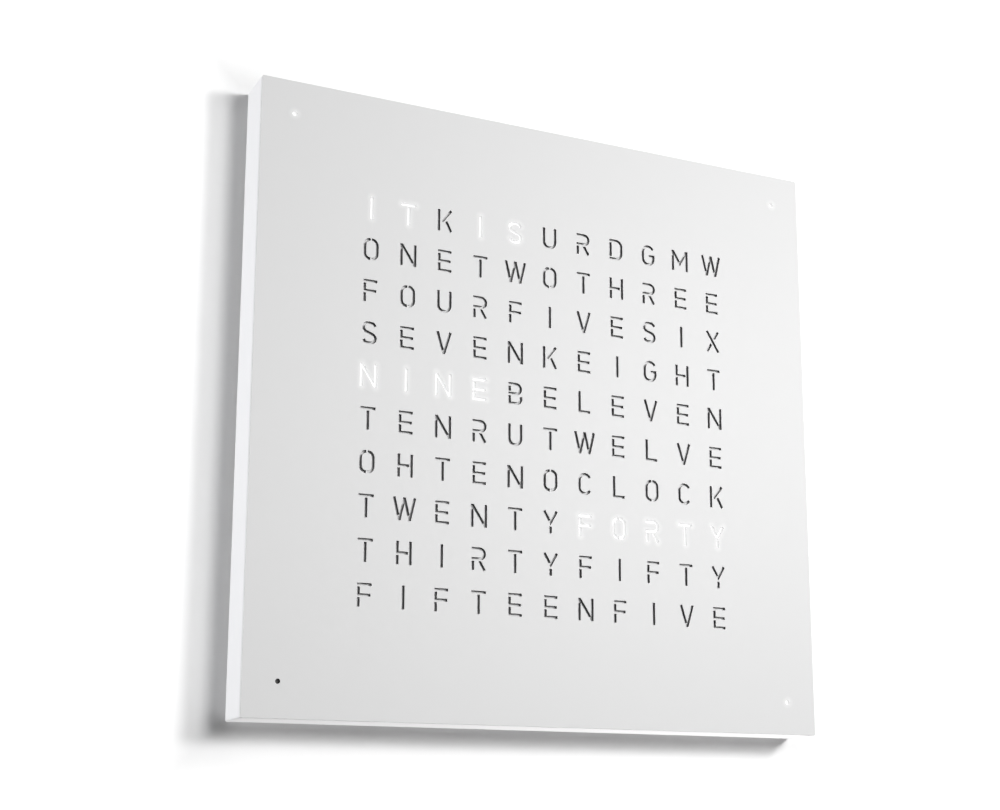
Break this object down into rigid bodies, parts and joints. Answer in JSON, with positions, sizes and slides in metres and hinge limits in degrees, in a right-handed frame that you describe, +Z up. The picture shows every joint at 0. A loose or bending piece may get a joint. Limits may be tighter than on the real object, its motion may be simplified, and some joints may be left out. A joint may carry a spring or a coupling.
{
  "type": "word clock",
  "caption": "Square wall-hung word clock: a matt face plate with a grid of light-up letter cells on a thin housing, set from the back.",
  "frame": {"origin": "on the wall plane, behind the middle of the face: the faces of the wall bumpers lie in the plane y = 0", "axes": "+X to the right of someone reading the clock, +Y into the wall, +Z up; the face looks along -Y"},
  "size_m": [0.45, 0.037, 0.45],
  "materials": {
    "face_plate_coat": "matt white powder coat on sheet steel",
    "housing_white": "matt white moulded plastic",
    "panel_white": "finely textured white moulding",
    "opal_plastic": "opal sheet, matt",
    "grid_white": "matt white moulding",
    "board_white": "white solder mask",
    "board_green": "green solder mask, satin",
    "led_lens": "clear resin in a white case",
    "chip_black": "matt black epoxy",
    "jack_black": "black moulding",
    "switch_black": "black moulding",
    "button_grey": "grey moulding, fine texture",
    "zinc_steel": "bright zinc plate",
    "magnet_nickel": "bright nickel",
    "can_aluminium": "drawn aluminium can",
    "bumper_rubber": "soft grey rubber"
  },
  "bodies": {
    "housing": {"housing": "housing_white", "rim_magnets": "magnet_nickel", "light_grid": "grid_white", "led_board": "board_white", "leds": "led_lens", "light_sensor": "chip_black", "back_panel": "panel_white", "panel_screws": "zinc_steel", "left_hanger_plate": "zinc_steel", "right_hanger_plate": "zinc_steel", "wall_bumpers": "bumper_rubber", "control_board": "board_green", "board_header": "chip_black", "controller_chips": "chip_black", "capacitors": "can_aluminium", "dc_jack": "jack_black", "cell_holder": "jack_black", "coin_cell": "zinc_steel", "switch_bodies": "switch_black"},
    "front_cover": {"front_plate": "face_plate_coat", "plate_studs": "zinc_steel", "diffuser_sheet": "opal_plastic"},
    "hour_key": {"hour_button": "button_grey", "hour_plunger": "jack_black"},
    "minute_key": {"minute_button": "button_grey", "minute_plunger": "jack_black"},
    "mode_key": {"mode_button": "button_grey", "mode_plunger": "jack_black"}
  },
  "joints": [
    {"name": "cover_lift_off", "type": "slide", "parent": "housing", "child": "front_cover", "axis": [0, -1, 0], "range_m": [0, 0.06]},
    {"name": "hour_press", "type": "slide", "parent": "housing", "child": "hour_key", "axis": [0, -1, 0], "range_m": [0, 0.001], "stiffness_N_per_m": 1500},
    {"name": "minute_press", "type": "slide", "parent": "housing", "child": "minute_key", "axis": [0, -1, 0], "range_m": [0, 0.001], "stiffness_N_per_m": 1500},
    {"name": "mode_press", "type": "slide", "parent": "housing", "child": "mode_key", "axis": [0, -1, 0], "range_m": [0, 0.001], "stiffness_N_per_m": 1500}
  ]
}
